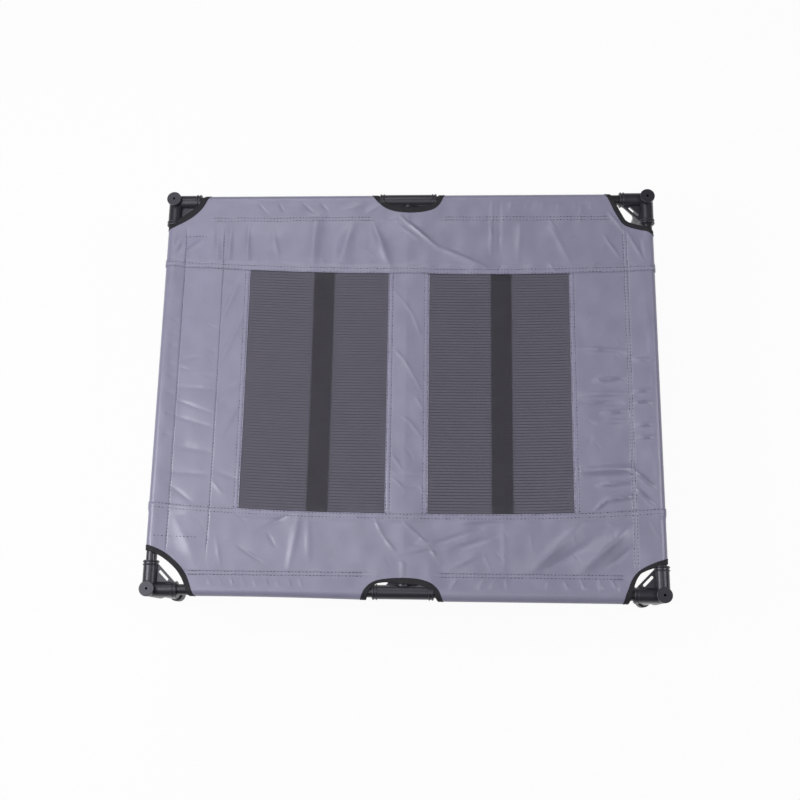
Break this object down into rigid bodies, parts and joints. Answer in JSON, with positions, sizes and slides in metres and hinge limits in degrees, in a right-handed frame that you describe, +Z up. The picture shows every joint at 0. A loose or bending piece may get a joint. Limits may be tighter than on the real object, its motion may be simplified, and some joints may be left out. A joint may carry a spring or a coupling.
{
  "type": "raised dog cot",
  "caption": "Raised dog cot: a knock-down tube frame with moulded corner and tee connectors and push-in legs, under a sewn fabric cover with mesh panels and webbing straps.",
  "frame": {"origin": "on the floor, under the middle of the cot", "axes": "+X along the long side, to the right as seen from the front; +Y to the rear; +Z up"},
  "size_m": [0.919, 0.759, 0.228],
  "materials": {
    "connector_plastic": "moulded, fine satin grain",
    "foot_plastic": "moulded, satin",
    "tube_paint": "black powder coat on steel tube",
    "cover_cloth": "lavender-grey coated plain weave",
    "mesh": "ribbed open mesh",
    "webbing": "woven webbing",
    "closure_tape": "hook and loop tape",
    "edge_binding": "folded woven tape"
  },
  "bodies": {
    "frame": {"corner_front_left": "connector_plastic", "corner_front_right": "connector_plastic", "corner_rear_left": "connector_plastic", "corner_rear_right": "connector_plastic", "tee_front": "connector_plastic", "tee_rear": "connector_plastic", "front_rail_left": "tube_paint", "front_rail_right": "tube_paint", "rear_rail_left": "tube_paint", "rear_rail_right": "tube_paint", "left_rail": "tube_paint", "right_rail": "tube_paint", "centre_crossbar": "tube_paint", "front_band": "cover_cloth", "rear_band": "cover_cloth", "left_end_panel": "cover_cloth", "right_end_panel": "cover_cloth", "centre_panel": "cover_cloth", "left_mesh": "mesh", "right_mesh": "mesh", "left_strap": "webbing", "right_strap": "webbing", "loop_tape": "closure_tape", "hook_tape": "closure_tape", "binding_front_left": "edge_binding", "binding_front_right": "edge_binding", "binding_rear_left": "edge_binding", "binding_rear_right": "edge_binding", "grip_binding_front": "edge_binding", "grip_binding_rear": "edge_binding"},
    "leg_front_left_body": {"leg_front_left": "tube_paint", "foot_front_left": "foot_plastic"},
    "leg_front_right_body": {"leg_front_right": "tube_paint", "foot_front_right": "foot_plastic"},
    "leg_rear_left_body": {"leg_rear_left": "tube_paint", "foot_rear_left": "foot_plastic"},
    "leg_rear_right_body": {"leg_rear_right": "tube_paint", "foot_rear_right": "foot_plastic"}
  },
  "joints": [
    {"name": "leg_front_left_pull", "type": "slide", "parent": "frame", "child": "leg_front_left_body", "axis": [0, 0, -1], "range_m": [0, 0.095]},
    {"name": "leg_front_right_pull", "type": "slide", "parent": "frame", "child": "leg_front_right_body", "axis": [0, 0, -1], "range_m": [0, 0.095]},
    {"name": "leg_rear_left_pull", "type": "slide", "parent": "frame", "child": "leg_rear_left_body", "axis": [0, 0, -1], "range_m": [0, 0.095]},
    {"name": "leg_rear_right_pull", "type": "slide", "parent": "frame", "child": "leg_rear_right_body", "axis": [0, 0, -1], "range_m": [0, 0.095]}
  ]
}
